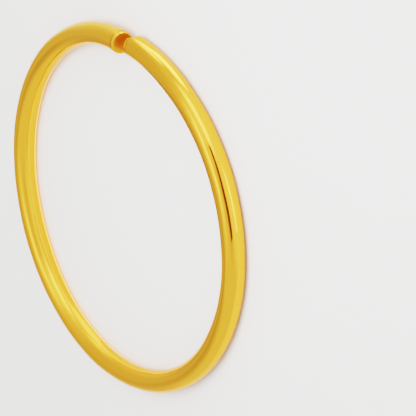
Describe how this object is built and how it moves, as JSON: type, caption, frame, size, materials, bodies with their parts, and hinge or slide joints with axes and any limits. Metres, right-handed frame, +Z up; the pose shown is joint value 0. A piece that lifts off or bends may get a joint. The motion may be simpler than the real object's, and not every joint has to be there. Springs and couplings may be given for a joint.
{
  "type": "nose ring",
  "caption": "Plain open nose ring: a round gold wire bent into a hoop, with square-cut ends facing each other across a narrow gap.",
  "frame": {"origin": "centre of the hoop's footprint on the surface that it lies on", "axes": "+Z up, square to the hoop's plane; the gap between the two cut ends faces +Y, the end that is sprung up a little is on the gap's -X side and the end with the filed corner is on its +X side"},
  "size_m": [0.0105, 0.0105, 0.0008],
  "materials": {
    "gold": "polished yellow gold with fine polishing marks"
  },
  "bodies": {
    "root": {"hoop": "gold"}
  },
  "joints": []
}
